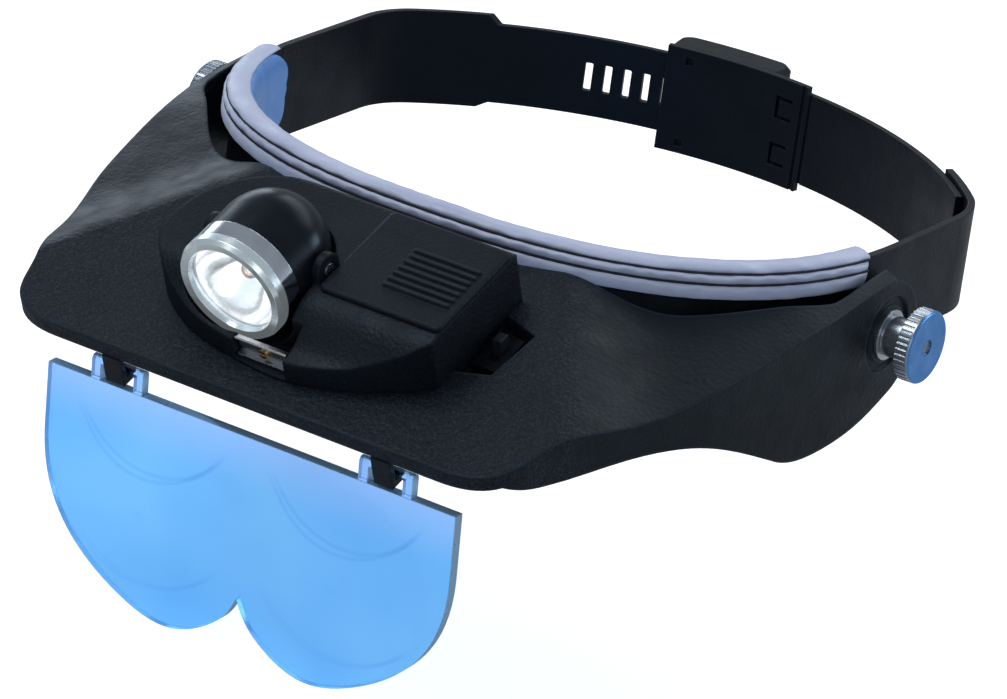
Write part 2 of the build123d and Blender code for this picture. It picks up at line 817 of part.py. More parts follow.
with BuildPart() as module_screws:
    with BuildSketch(Plane.XY.offset(plate_top - plate_wall - 1.5)):
        with Locations(*screw_spots):
            Circle(2.2)
    extrude(amount=1.45)
    with BuildSketch(Plane.XY.offset(plate_top - plate_wall - 0.05)):
        with Locations(*screw_spots):
            Circle(1.0)
    extrude(amount=plate_wall + 4.4)
    with BuildSketch(Plane.XY.offset(plate_top - plate_wall - 1.5)):
        with Locations(*screw_spots):
            Rectangle(3.0, 0.6)
            Rectangle(0.6, 3.0)
    extrude(amount=0.8, mode=Mode.SUBTRACT)
write_piece(module_screws, "module_screws", visor_pose)

strip_left = notch_left + 0.3
strip_right = notch_right - 0.3
with BuildPart() as contact_strip:
    with BuildSketch(side_plane(strip_left)):
        with BuildLine():
            Polyline(
                (strip_back, module_floor + 1.0),
                (strip_back, 43.9),
                (strip_back - 1.7, 44.7),
                (strip_back - 1.9, 44.2),
                (strip_back - 0.5, 43.6),
                (strip_back - 0.5, module_floor + 1.5),
                (strip_back - 1.7, module_floor + 1.5),
                (strip_back - 1.7, module_floor + 1.0),
                (strip_back, module_floor + 1.0),
            )
        make_face()
    extrude(amount=strip_right - strip_left)
write_piece(contact_strip, "contact_strip", visor_pose)

screw_plane = Plane(origin=(-1.0, strip_back - 0.52, 41.5), x_dir=(1, 0, 0), z_dir=(0, -1, 0))
with BuildPart() as strip_screw:
    with BuildSketch(screw_plane):
        Circle(1.2)
    extrude(amount=0.8)
    with BuildSketch(screw_plane.offset(0.5)):
        Rectangle(3.0, 0.4)
    extrude(amount=1, mode=Mode.SUBTRACT)
write_piece(strip_screw, "strip_screw", visor_pose)

# ---------------------------------------------------------------- slide switch
switch_centre = (42.6, -81.0)
slider_travel = 3.0
with BuildPart() as switch_body:
    with BuildSketch(Plane.XY.offset(pocket_floor + 0.05)):
        with Locations(switch_centre):
            Rectangle(7.0, 12.0)
    extrude(amount=3.6)
    with BuildSketch(Plane.XY.offset(pocket_floor + 2.0)):
        with Locations(switch_centre):
            Rectangle(2.6, 3.4 + slider_travel)
    extrude(amount=4, mode=Mode.SUBTRACT)
write_piece(switch_body, "switch_body", visor_pose)

with BuildPart() as switch_slider:
    with BuildSketch(Plane.XY.offset(pocket_floor + 2.1)):
        with Locations((switch_centre[0], switch_centre[1] + slider_travel / 2)):
            Rectangle(2.4, 3.2)
    extrude(amount=5.0)
    fillet(switch_slider.faces().sort_by(Axis.Z)[-1].edges(), 0.4)
write_piece(switch_slider, "switch_slider", visor_pose)

# ---------------------------------------------------------------- lamp
lamp_out = (0, -cos(radians(lamp_dip)), -sin(radians(lamp_dip)))
lamp_across = (0, sin(radians(lamp_dip)), -cos(radians(lamp_dip)))
lamp_section = Plane(origin=lamp_centre, x_dir=(1, 0, 0), z_dir=lamp_across)
lamp_axis = Axis(lamp_centre, lamp_out)
lamp_wall = 1.6
ring_radius = lamp_radius + 0.2
ring_bore = lamp_radius - 1.9
shell_end = 8.4
collar_stop = 13.0
bezel_end = 16.4
with BuildPart() as lamp_shell:
    with BuildSketch(lamp_section):
        with BuildLine():
            hollow = lamp_radius - lamp_wall
            diagonal = sin(radians(45))
            knee = lamp_radius * diagonal
            ThreePointArc((0, -lamp_radius), (knee, -knee), (lamp_radius, 0))
            Polyline((lamp_radius, 0), (lamp_radius, shell_end), (hollow, shell_end), (hollow, 0))
            ThreePointArc((hollow, 0), (hollow * diagonal, -hollow * diagonal), (0, -hollow))
            Line((0, -hollow), (0, -lamp_radius))
        make_face()
    revolve(axis=lamp_axis)
    with BuildSketch(side_plane(lamp_x - 30)):
        with Locations((lamp_y, lamp_z)):
            Circle(pin_radius + 0.02)
    extrude(amount=60, mode=Mode.SUBTRACT)
write_piece(lamp_shell, "lamp_shell", visor_pose)

with BuildPart() as lamp_pins:
    for side in (-1, 1):
        with BuildSketch(side_plane(lamp_x + side * (lamp_radius - lamp_wall - 1.2))):
            with Locations((lamp_y, lamp_z)):
                Circle(pin_radius)
        extrude(amount=side * 5.6)
write_piece(lamp_pins, "lamp_pins", visor_pose)


def lamp_ring(points):
    """A ring turned about the lamp's axis from (radius, distance along the axis) points."""
    with BuildPart() as ring:
        with BuildSketch(lamp_section):
            Polygon(*points, align=None)
        revolve(axis=lamp_axis)
    return ring


write_piece(
    lamp_ring(
        (
            (ring_bore, shell_end + 0.05),
            (ring_radius, shell_end + 0.05),
            (ring_radius, collar_stop),
            (ring_bore, collar_stop),
        )
    ),
    "lamp_collar",
    visor_pose,
)
write_piece(
    lamp_ring(
        (
            (ring_bore, collar_stop + 0.05),
            (ring_radius, collar_stop + 0.05),
            (ring_radius, bezel_end - 1.2),
            (ring_radius - 0.6, bezel_end),
            (ring_bore - 0.4, bezel_end - 0.2),
            (ring_bore - 0.8, bezel_end - 1.4),
            (ring_bore, bezel_end - 1.4),
        )
    ),
    "lamp_bezel",
    visor_pose,
)
window_radius = ring_bore - 0.05
write_piece(
    lamp_ring(((0, 13.7), (window_radius, 13.7), (window_radius, 14.9), (0, 14.9))),
    "lamp_window",
    visor_pose,
)

reflector_mouth = ring_bore - 0.6
reflector_throat = 3.2
with BuildPart() as lamp_reflector:
    with BuildSketch(lamp_section):
        with BuildLine():
            ends = ((1, 0.35), (0.25, 1))
            bowl = Spline((reflector_throat, 2.4), (8.0, 6.4), (reflector_mouth, 12.8), tangents=ends)
            back = Spline((reflector_throat, 1.7), (8.4, 5.8), (reflector_mouth + 0.5, 12.3), tangents=ends)
            Line(bowl @ 0, back @ 0)
            Polyline(bowl @ 1, (reflector_mouth + 0.5, 12.8), back @ 1)
        make_face()
    revolve(axis=lamp_axis)
write_piece(lamp_reflector, "lamp_reflector", visor_pose)

with BuildPart() as bulb_socket:
    with BuildSketch(lamp_section):
        Polygon((2.65, -8.0), (5.2, -8.0), (5.2, 1.2), (2.65, 1.2), align=None)
    revolve(axis=lamp_axis)
write_piece(bulb_socket, "bulb_socket", visor_pose)

write_piece(
    lamp_ring(((0, -5.0), (1.6, -5.0), (2.55, -3.8), (2.55, 4.6), (0, 4.6))),
    "bulb_base",
    visor_pose,
)
with BuildPart() as bulb_glass:
    with BuildSketch(lamp_section):
        with BuildLine():
            Polyline((0, 4.65), (2.2, 4.65), (2.2, 7.2))
            ThreePointArc((2.2, 7.2), (2.2 * sin(radians(45)), 7.2 + 2.2 * sin(radians(45))), (0, 9.4))
            Line((0, 9.4), (0, 4.65))
        make_face()
    revolve(axis=lamp_axis)
write_piece(bulb_glass, "bulb_glass", visor_pose)
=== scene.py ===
import math

import bmesh
import bpy
from mathutils import Matrix, Vector, noise


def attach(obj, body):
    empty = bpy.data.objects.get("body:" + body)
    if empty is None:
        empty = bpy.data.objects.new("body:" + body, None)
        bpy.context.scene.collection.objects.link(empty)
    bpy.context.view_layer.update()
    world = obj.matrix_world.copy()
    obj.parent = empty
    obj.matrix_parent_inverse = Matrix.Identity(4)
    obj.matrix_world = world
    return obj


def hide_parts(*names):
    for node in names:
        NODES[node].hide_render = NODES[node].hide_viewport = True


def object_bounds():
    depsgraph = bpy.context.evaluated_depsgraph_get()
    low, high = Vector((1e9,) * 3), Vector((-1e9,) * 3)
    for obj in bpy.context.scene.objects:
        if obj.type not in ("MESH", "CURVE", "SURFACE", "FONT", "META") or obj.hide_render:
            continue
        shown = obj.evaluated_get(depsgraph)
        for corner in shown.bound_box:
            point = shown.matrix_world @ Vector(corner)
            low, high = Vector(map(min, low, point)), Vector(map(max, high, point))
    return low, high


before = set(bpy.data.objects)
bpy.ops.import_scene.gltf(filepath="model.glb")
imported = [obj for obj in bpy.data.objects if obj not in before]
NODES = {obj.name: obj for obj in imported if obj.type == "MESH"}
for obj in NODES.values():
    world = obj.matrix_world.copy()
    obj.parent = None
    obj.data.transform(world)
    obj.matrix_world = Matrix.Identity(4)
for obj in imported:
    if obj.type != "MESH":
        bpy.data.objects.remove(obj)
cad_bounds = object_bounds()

MM = 0.001
VISOR_TILT = math.radians(23.1)
LENS_LEAN = math.radians(18.8)
LENS_ROD_MM = (0.0, -119.5, 29.2)


# ------------------------------------------------------------------ small helpers
def level_to_world(point):
    """A point drawn on the level visor, in millimetres, as a world point at rest."""
    x, y, z = point
    turn_cos = math.cos(VISOR_TILT)
    turn_sin = math.sin(VISOR_TILT)
    return Vector((x, y * turn_cos - z * turn_sin, y * turn_sin + z * turn_cos)) * MM


def mesh_object(name, bm, smooth=True):
    """Turn a bmesh into a scene object."""
    mesh = bpy.data.meshes.new(name)
    bmesh.ops.recalc_face_normals(bm, faces=bm.faces)
    bm.to_mesh(mesh)
    bm.free()
    for face in mesh.polygons:
        face.use_smooth = smooth
    piece = bpy.data.objects.new(name, mesh)
    bpy.context.scene.collection.objects.link(piece)
    return piece


def apply_modifier(piece, modifier):
    """Write one modifier's result into the mesh."""
    bpy.context.view_layer.objects.active = piece
    with bpy.context.temp_override(object=piece, active_object=piece, selected_objects=[piece]):
        bpy.ops.object.modifier_apply(modifier=modifier.name)


def sweep_loops(loops, closed_ends=True):
    """A skin over rows of points; each row is a closed loop with the same count."""
    bm = bmesh.new()
    rows = [[bm.verts.new(point) for point in loop] for loop in loops]
    count = len(rows[0])
    for first, second in zip(rows[:-1], rows[1:]):
        for i in range(count):
            j = (i + 1) % count
            bm.faces.new((first[i], first[j], second[j], second[i]))
    if closed_ends:
        bm.faces.new(rows[0])
        bm.faces.new(rows[-1])
    return bm


# ------------------------------------------------------------------ material nodes
class Graph:
    """A short way to write one material's nodes."""

    def __init__(self, name):
        self.material = bpy.data.materials.new(name)
        self.material.use_nodes = True
        self.tree = self.material.node_tree
        self.shader = self.tree.nodes["Principled BSDF"]
        self.place = self.add("ShaderNodeTexCoord").outputs["Object"]

    def add(self, kind, **settings):
        node = self.tree.nodes.new(kind)
        for key, value in settings.items():
            if hasattr(node, key):
                setattr(node, key, value)
            else:
                node.inputs[key.replace("_", " ").title()].default_value = value
        return node

    def link(self, source, target):
        self.tree.links.new(source, target)

    def noise(self, scale, detail=3.0, roughness=0.55, place=None):
        node = self.add("ShaderNodeTexNoise", scale=scale, detail=detail, roughness=roughness)
        self.link(place or self.place, node.inputs["Vector"])
        return node.outputs["Fac"]

    def cells(self, scale, feature="SMOOTH_F1", place=None):
        node = self.add("ShaderNodeTexVoronoi", feature=feature, scale=scale)
        self.link(place or self.place, node.inputs["Vector"])
        return node.outputs["Distance"]

    def stretch(self, scale):
        node = self.add("ShaderNodeMapping")
        node.inputs["Scale"].default_value = scale
        self.link(self.place, node.inputs["Vector"])
        return node.outputs["Vector"]

    def span(self, value, low_in, high_in, low_out, high_out):
        node = self.add("ShaderNodeMapRange")
        for key, number in zip(("From Min", "From Max", "To Min", "To Max"), (low_in, high_in, low_out, high_out)):
            node.inputs[key].default_value = number
        self.link(value, node.inputs["Value"])
        return node.outputs["Result"]

    def math(self, operation, first, second):
        node = self.add("ShaderNodeMath", operation=operation)
        for socket, value in zip(node.inputs, (first, second)):
            if isinstance(value, (int, float)):
                socket.default_value = value
            else:
                self.link(value, socket)
        return node.outputs["Value"]

    def mix(self, factor, first, second):
        node = self.add("ShaderNodeMix", data_type="RGBA")
        if isinstance(factor, (int, float)):
            node.inputs[0].default_value = factor
        else:
            self.link(factor, node.inputs[0])
        for socket, value in ((node.inputs[6], first), (node.inputs[7], second)):
            if isinstance(value, tuple):
                socket.default_value = (*value, 1)
            else:
                self.link(value, socket)
        return node.outputs[2]

    def bump(self, height, strength, distance, normal=None):
        node = self.add("ShaderNodeBump")
        node.inputs["Strength"].default_value = strength
        node.inputs["Distance"].default_value = distance
        self.link(height, node.inputs["Height"])
        if normal is not None:
            self.link(normal, node.inputs["Normal"])
        return node.outputs["Normal"]

    def round_edges(self, radius, samples=4):
        node = self.add("ShaderNodeBevel", samples=samples)
        node.inputs["Radius"].default_value = radius
        return node.outputs["Normal"]

    def edge_mask(self, rounded):
        """1 on edges, 0 on flats, from how far the rounded normal leans from the true one."""
        true_normal = self.add("ShaderNodeNewGeometry").outputs["True Normal"]
        dot = self.add("ShaderNodeVectorMath", operation="DOT_PRODUCT")
        self.link(rounded, dot.inputs[0])
        self.link(true_normal, dot.inputs[1])
        return self.span(dot.outputs["Value"], 0.985, 0.85, 0.0, 1.0)

    def set(self, **values):
        for key, value in values.items():
            socket = self.shader.inputs[key.replace("_", " ")]
            if isinstance(value, tuple):
                socket.default_value = (*value, 1) if len(value) == 3 else value
            elif isinstance(value, (int, float)):
                socket.default_value = value
            else:
                self.link(value, socket)
        return self.material

    def light_shadow(self, colour):
        """Let shadow rays through a clear material with a faint tint."""
        clear = self.add("ShaderNodeBsdfTransparent")
        clear.inputs["Color"].default_value = (*colour, 1)
        path = self.add("ShaderNodeLightPath").outputs["Is Shadow Ray"]
        blend = self.add("ShaderNodeMixShader")
        self.link(path, blend.inputs[0])
        self.link(self.shader.outputs[0], blend.inputs[1])
        self.link(clear.outputs[0], blend.inputs[2])
        self.link(blend.outputs[0], self.tree.nodes["Material Output"].inputs["Surface"])
        return self.material


def moulded_plastic(name, dark, light, grain_scale, grain_depth, rough_low, rough_high, edge_radius, speck=0.0):
    """Black moulding with a fine leathery grain, dust specks, edges lightened partly as rubbed wear and partly as a
    painted highlight, and uneven sheen.
    """
    g = Graph(name)
    rounded = g.round_edges(edge_radius)
    pebbles = g.cells(grain_scale)
    fine = g.noise(grain_scale * 2.3, 2.0)
    height = g.math("ADD", pebbles, g.math("MULTIPLY", fine, 0.5))
    normal = g.bump(height, 1.0, grain_depth, rounded)
    clouds = g.noise(38, 4.0)
    colour = g.mix(g.span(clouds, 0.3, 0.7, 0.0, 1.0), dark, light)
    if speck:
        dust = g.span(g.noise(grain_scale * 1.4, 1.0), 0.6, 0.74, 0.0, speck)
        colour = g.mix(dust, colour, tuple(min(1.0, c * 4 + 0.02) for c in light))
    # Edges lightened: partly rubbed wear, partly a painted highlight along the edges.
    wear_and_edge_highlight = g.math("MULTIPLY", g.edge_mask(rounded), g.span(g.noise(90, 3.0), 0.35, 0.7, 0.15, 0.9))
    colour = g.mix(g.math("MULTIPLY", wear_and_edge_highlight, 0.55), colour, tuple(c * 2.2 + 0.01 for c in light))
    rough = g.span(g.noise(120, 3.0), 0.3, 0.7, rough_low, rough_high)
    return g.set(Base_Color=colour, Roughness=rough, Normal=normal, Specular_IOR_Level=0.2, Specular_Tint=(0.6, 0.8, 1.0))


def bright_metal(name, colour, rough, brush=(1, 1, 1), brush_depth=0.00002, edge_radius=0.0002, glow=0.0):
    """Plated or turned metal with faint machining lines, smudges, softened edges and an optional painted glow."""
    g = Graph(name)
    rounded = g.round_edges(edge_radius)
    lines = g.noise(900, 2.0, place=g.stretch(brush))
    normal = g.bump(lines, 0.6, brush_depth, rounded)
    smudge = g.noise(160, 4.0)
    tint = g.mix(g.span(smudge, 0.35, 0.7, 0.0, 1.0), colour, tuple(c * 0.82 for c in colour))
    roughness = g.span(smudge, 0.3, 0.7, rough * 0.7, rough * 1.5)
    # Painted glow: emission in the metal's own colour makes it brighter than the lights alone give.
    g.set(Emission_Color=colour, Emission_Strength=glow)
    return g.set(Base_Color=tint, Metallic=1.0, Roughness=roughness, Normal=normal)


def clear_material(name, tint, rough=0.015, ior=1.49, haze=0.0, shadow=(0.9, 0.95, 1.0)):
    """Clear moulded plastic or glass whose shadow stays light."""
    g = Graph(name)
    smear = g.noise(55, 4.0)
    rough_map = g.span(smear, 0.4, 0.75, rough, rough * 3 + haze)
    waves = g.noise(35, 1.0)
    normal = g.bump(waves, 0.2, 0.0004, g.round_edges(0.0007))
    g.set(Base_Color=tint, Roughness=rough_map, Transmission_Weight=1.0, IOR=ior, Normal=normal)
    return g.light_shadow(shadow)


def lens_material():
    """Sky blue acrylic: pale lavender by its top edge, moulded arcs in each lobe, bright cut edges."""
    g = Graph("lens_blue_acrylic")
    lean = LENS_LEAN - VISOR_TILT
    split = g.add("ShaderNodeSeparateXYZ")
    g.link(g.place, split.inputs[0])
    rod = level_to_world(LENS_ROD_MM)
    down = g.math(
        "SUBTRACT",
        rod.y * math.sin(lean) + rod.z * math.cos(lean),
        g.math(
            "ADD",
            g.math("MULTIPLY", split.outputs["Y"], math.sin(lean)),
            g.math("MULTIPLY", split.outputs["Z"], math.cos(lean)),
        ),
    )
    across = g.math("SUBTRACT", g.math("ABSOLUTE", split.outputs["X"], 0), 0.0275)

    def arc(radius, centre_down, start_down):
        """A thin line round a lobe's middle, only below one height."""
        drop = g.math("SUBTRACT", down, centre_down)
        reach = g.math("SQRT", g.math("ADD", g.math("POWER", across, 2), g.math("POWER", drop, 2)), 0)
        line = g.span(g.math("ABSOLUTE", g.math("SUBTRACT", reach, radius), 0), 0.0002, 0.0007, 1.0, 0.0)
        return g.math("MULTIPLY", line, g.span(down, start_down, start_down + 0.006, 0.0, 1.0))

    arcs = g.math("MAXIMUM", arc(0.024, 0.000, 0.010), g.math("MULTIPLY", arc(0.0265, 0.0255, 0.040), 0.6))
    tint = g.mix(g.span(g.noise(26, 2.0), 0.35, 0.7, 0.0, 1.0), (0.165, 0.48, 0.88), (0.12, 0.41, 0.85))
    tint = g.mix(g.span(down, 0.005, 0.018, 0.6, 0.0), tint, (0.32, 0.48, 0.88))
    tint = g.mix(g.math("MULTIPLY", arcs, 0.55), tint, (0.08, 0.30, 0.75))
    facing = g.add("ShaderNodeVectorMath", operation="DOT_PRODUCT")
    g.link(g.add("ShaderNodeTexCoord").outputs["Normal"], facing.inputs[0])
    facing.inputs[1].default_value = (0, -math.cos(lean), math.sin(lean))
    edge = g.span(g.math("ABSOLUTE", facing.outputs["Value"], 0), 0.35, 0.8, 1.0, 0.0)
    tint = g.mix(g.math("MULTIPLY", edge, 0.8), tint, (0.50, 0.75, 0.95))
    smear = g.noise(55, 4.0)
    rough = g.math("ADD", g.span(smear, 0.4, 0.75, 0.012, 0.05), g.math("MULTIPLY", edge, 0.25))
    waves = g.math("ADD", g.noise(35, 1.0), g.math("MULTIPLY", arcs, 0.5))
    normal = g.bump(waves, 0.25, 0.0004, g.round_edges(0.0005))
    g.set(
        Base_Color=tint,
        Roughness=rough,
        Transmission_Weight=g.span(edge, 0.0, 1.0, 1.0, 0.35),
        IOR=1.49,
        Normal=normal,
    )
    return g.light_shadow((0.62, 0.82, 0.95))


def visor_material():
    """Pebble grain on the top of the visor, smoother satin on the falling cheeks."""
    g = Graph("visor_pebble_grain")
    rounded = g.round_edges(0.0012, 6)
    split = g.add("ShaderNodeSeparateXYZ")
    g.link(g.place, split.inputs[0])
    across = g.math("ABSOLUTE", split.outputs["X"], 0)
    level_y = g.math(
        "ADD",
        g.math("MULTIPLY", split.outputs["Y"], math.cos(VISOR_TILT)),
        g.math("MULTIPLY", split.outputs["Z"], math.sin(VISOR_TILT)),
    )
    fall = g.math("ADD", g.math("MULTIPLY", across, 0.848), g.math("MULTIPLY", level_y, 0.53))
    cheek = g.span(fall, 0.010, 0.016, 0.0, 1.0)
    pebbles = g.cells(850)
    fine = g.noise(2100, 2.0)
    grain = g.math("ADD", pebbles, g.math("MULTIPLY", fine, 0.55))
    grain = g.math("MULTIPLY", grain, g.span(cheek, 0.0, 1.0, 1.0, 0.45))
    normal = g.bump(grain, 1.0, 0.00016, rounded)
    clouds = g.span(g.noise(30, 4.0), 0.3, 0.7, 0.0, 1.0)
    top = g.mix(clouds, (0.0040, 0.0052, 0.0075), (0.0085, 0.0108, 0.0150))
    side = g.mix(clouds, (0.0032, 0.0042, 0.0060), (0.0070, 0.0090, 0.0125))
    dust = g.span(g.noise(1900, 1.0), 0.48, 0.68, 0.0, 0.5)
    top = g.mix(dust, top, (0.036, 0.046, 0.064))
    colour = g.mix(cheek, top, side)
    # Edges lightened: partly rubbed wear, partly a painted highlight along the front lip and the other edges.
    wear_and_edge_highlight = g.math("MULTIPLY", g.edge_mask(rounded), g.span(g.noise(70, 3.0), 0.3, 0.7, 0.25, 1.0))
    colour = g.mix(g.math("MULTIPLY", wear_and_edge_highlight, 0.7), colour, (0.045, 0.068, 0.105))
    rough = g.span(g.noise(140, 3.0), 0.3, 0.7, 0.42, 0.58)
    rough = g.math("SUBTRACT", rough, g.math("MULTIPLY", cheek, 0.06))
    return g.set(Base_Color=colour, Roughness=rough, Normal=normal, Specular_IOR_Level=0.2, Specular_Tint=(0.6, 0.8, 1.0))


def vinyl_material(name, base, shade, painted_crease_shade):
    """Soft padded vinyl: fine leather grain, a slight sheen and painted shade in the creases."""
    g = Graph(name)
    grain = g.math("ADD", g.cells(1500), g.math("MULTIPLY", g.noise(700, 3.0), 0.8))
    normal = g.bump(grain, 0.5, 0.00012)
    clouds = g.span(g.noise(60, 4.0), 0.3, 0.72, 0.0, 1.0)
    colour = g.mix(clouds, base, shade)
    pointed = g.add("ShaderNodeNewGeometry").outputs["Pointiness"]
    # Painted shade: the colour darkens where the surface folds inwards, in creases and channels.
    colour = g.mix(g.span(pointed, 0.485, 0.40, 0.0, 1.0), colour, painted_crease_shade)
    rough = g.span(g.noise(240, 2.0), 0.3, 0.7, 0.34, 0.5)
    return g.set(
        Base_Color=colour,
        Roughness=rough,
        Normal=normal,
        Sheen_Weight=0.15,
        Subsurface_Weight=0.04,
        Subsurface_Scale=0.002,
    )


def thread_material():
    """The dark twisted thread in the pad's sewn channels."""
    g = Graph("seam_thread")
    twist = g.add("ShaderNodeTexWave", scale=900.0, distortion=1.0)
    g.link(g.place, twist.inputs["Vector"])
    colour = g.mix(twist.outputs["Fac"], (0.004, 0.004, 0.008), (0.018, 0.018, 0.035))
    return g.set(Base_Color=colour, Roughness=0.7, Normal=g.bump(twist.outputs["Fac"], 0.6, 0.0001))


def cell_material():
    """A battery jacket with plain bands and no lettering."""
    g = Graph("battery_jacket")
    split = g.add("ShaderNodeSeparateXYZ")
    g.link(g.place, split.inputs[0])
    band = g.span(split.outputs["X"], 0.0255, 0.0257, 0.0, 1.0)
    colour = g.mix(band, (0.02, 0.03, 0.05), (0.45, 0.33, 0.16))
    scuff = g.span(g.noise(420, 4.0), 0.55, 0.7, 0.0, 0.35)
    colour = g.mix(scuff, colour, (0.3, 0.3, 0.32))
    return g.set(Base_Color=colour, Roughness=g.span(g.noise(200), 0.3, 0.7, 0.2, 0.4), Metallic=0.5)


def knob_material():
    """Blue-grey plated knob, its face lightly spun about the pivot axis."""
    g = Graph("knob_plating")
    split = g.add("ShaderNodeSeparateXYZ")
    g.link(g.place, split.inputs[0])
    radius = g.math(
        "SQRT",
        g.math("ADD", g.math("POWER", split.outputs["Y"], 2), g.math("POWER", split.outputs["Z"], 2)),
        0,
    )
    rings = g.math("SINE", g.math("MULTIPLY", radius, 16000.0), 0)
    rounded = g.round_edges(0.0003)
    normal = g.bump(g.math("ADD", rings, g.noise(300, 3.0)), 0.35, 0.00003, rounded)
    smudge = g.span(g.noise(220, 4.0), 0.3, 0.7, 0.0, 1.0)
    face = g.mix(smudge, (0.10, 0.33, 0.76), (0.07, 0.25, 0.62))
    rim = g.mix(smudge, (0.46, 0.52, 0.58), (0.30, 0.35, 0.40))
    outer = g.span(g.math("ABSOLUTE", split.outputs["X"], 0), 0.1050, 0.1053, 0.0, 1.0)
    colour = g.mix(outer, rim, face)
    centre = g.span(radius, 0.0017, 0.0022, 1.0, 0.0)
    colour = g.mix(g.math("MULTIPLY", centre, outer), colour, (0.05, 0.09, 0.13))
    return g.set(Base_Color=colour, Metallic=0.9, Roughness=g.span(smudge, 0, 1, 0.2, 0.34), Normal=normal)


MATERIALS = {
    "visor": visor_material(),
    "strap": moulded_plastic(
        "band_satin", (0.0022, 0.0026, 0.0040), (0.0048, 0.0056, 0.0085), 1500, 0.00005, 0.32, 0.46, 0.0005
    ),
    "module": moulded_plastic(
        "module_fine_grain", (0.0038, 0.0048, 0.0070), (0.0080, 0.0102, 0.0145), 1200, 0.00010, 0.40, 0.52, 0.0011, 0.2
    ),
    "gloss": moulded_plastic(
        "lamp_gloss_black", (0.0050, 0.0062, 0.0095), (0.0095, 0.0120, 0.0180), 260, 0.00001, 0.24, 0.34, 0.0005
    ),
    "hook": moulded_plastic(
        "hook_black", (0.003, 0.0034, 0.005), (0.008, 0.009, 0.012), 900, 0.00004, 0.25, 0.4, 0.0004
    ),
    "fibre": moulded_plastic("fibre_washer", (0.05, 0.035, 0.03), (0.10, 0.08, 0.06), 1800, 0.00008, 0.7, 0.9, 0.0003),
    "slider": moulded_plastic("slider_grey", (0.010, 0.012, 0.015), (0.030, 0.034, 0.040), 1400, 0.00003, 0.3, 0.5, 0.0003),
    "chrome": bright_metal("chrome_trim", (0.80, 0.83, 0.88), 0.09),
    # The bezel gets a faint painted glow.
    "bezel": bright_metal("bezel_plating", (0.86, 0.95, 0.98), 0.2, glow=0.12),
    "steel": bright_metal("plain_steel", (0.56, 0.57, 0.60), 0.26, (1, 6, 1)),
    "brass": bright_metal("turned_brass", (0.76, 0.56, 0.26), 0.22, (8, 1, 1)),
    "copper": bright_metal("bulb_cap_copper", (0.80, 0.30, 0.18), 0.25),
    # The reflector gets a painted glow for its bright white look.
    "reflector": bright_metal("reflector_plate", (0.98, 0.97, 0.97), 0.12, brush_depth=0.00004, glow=0.22),
    "knob": knob_material(),
    "cell": cell_material(),
    "lens": lens_material(),
    "window": clear_material("lamp_window", (0.97, 0.99, 1.0), 0.01),
    "bulb": clear_material("bulb_glass", (1.0, 0.97, 0.92), 0.01, 1.45),
    # The last colour of each pad material is the painted shade for its creases.
    "pad_rim": vinyl_material("pad_lilac_vinyl", (0.55, 0.60, 0.79), (0.46, 0.51, 0.71), (0.10, 0.11, 0.20)),
    "pad_inner": vinyl_material("pad_blue_lining", (0.115, 0.32, 0.76), (0.085, 0.255, 0.65), (0.05, 0.12, 0.30)),
    "thread": thread_material(),
}

LOOKS = {
    "visor_shell": "visor",
    "head_band": "strap",
    "rear_strap": "strap",
    "buckle_cover": "strap",
    "release_button": "hook",
    "lens_hooks": "hook",
    "module_housing": "module",
    "battery_cover": "module",
    "switch_body": "hook",
    "switch_slider": "slider",
    "bulb_socket": "hook",
    "lamp_shell": "gloss",
    "lamp_collar": "chrome",
    "lamp_bezel": "bezel",
    "lamp_reflector": "reflector",
    "lamp_window": "window",
    "bulb_glass": "bulb",
    "bulb_base": "copper",
    "strip_screw": "brass",
    "pivot_inserts": "brass",
    "lens_plate": "lens",
    "thumb_screw_left": "knob",
    "thumb_screw_right": "knob",
    "friction_washers": "fibre",
    "battery_cells": "cell",
}
for node_name, node in NODES.items():
    look = MATERIALS[LOOKS.get(node_name, "steel")]
    node.data.materials.clear()
    node.data.materials.append(look)


# ------------------------------------------------------------------ comfort pad
RING_HALF_WIDTH = 86.4
RING_MIDDLE_Y = 17.0
RING_DEPTH = 77.2
RING_POWER = 2.45


def ring_point(angle, grow, height):
    """A point of the band's front half, grown outwards, in millimetres."""
    across = math.cos(angle)
    ahead = math.sin(angle)
    x = (RING_HALF_WIDTH + grow) * abs(across) ** (2 / RING_POWER) * (1 if across >= 0 else -1)
    y = RING_MIDDLE_Y - (RING_DEPTH + grow) * abs(ahead) ** (2 / RING_POWER)
    return Vector((x, y, height))


def ring_stations(end_y, spacing):
    """Angles along the front half, evenly spaced, between the two points at end_y."""
    steps = 4000
    angles = [math.pi * i / steps for i in range(1, steps)]
    points = [ring_point(a, 0, 0) for a in angles]
    chosen = [(a, p) for a, p in zip(angles, points) if p.y <= end_y]
    lengths = [0.0]
    for (_, p), (_, q) in zip(chosen[:-1], chosen[1:]):
        lengths.append(lengths[-1] + (q - p).length)
    total = lengths[-1]
    count = int(total / spacing)
    stations = []
    k = 0
    for i in range(count + 1):
        want = total * i / count
        while k < len(lengths) - 1 and lengths[k] < want:
            k += 1
        stations.append((chosen[k][0], want))
    return stations, total


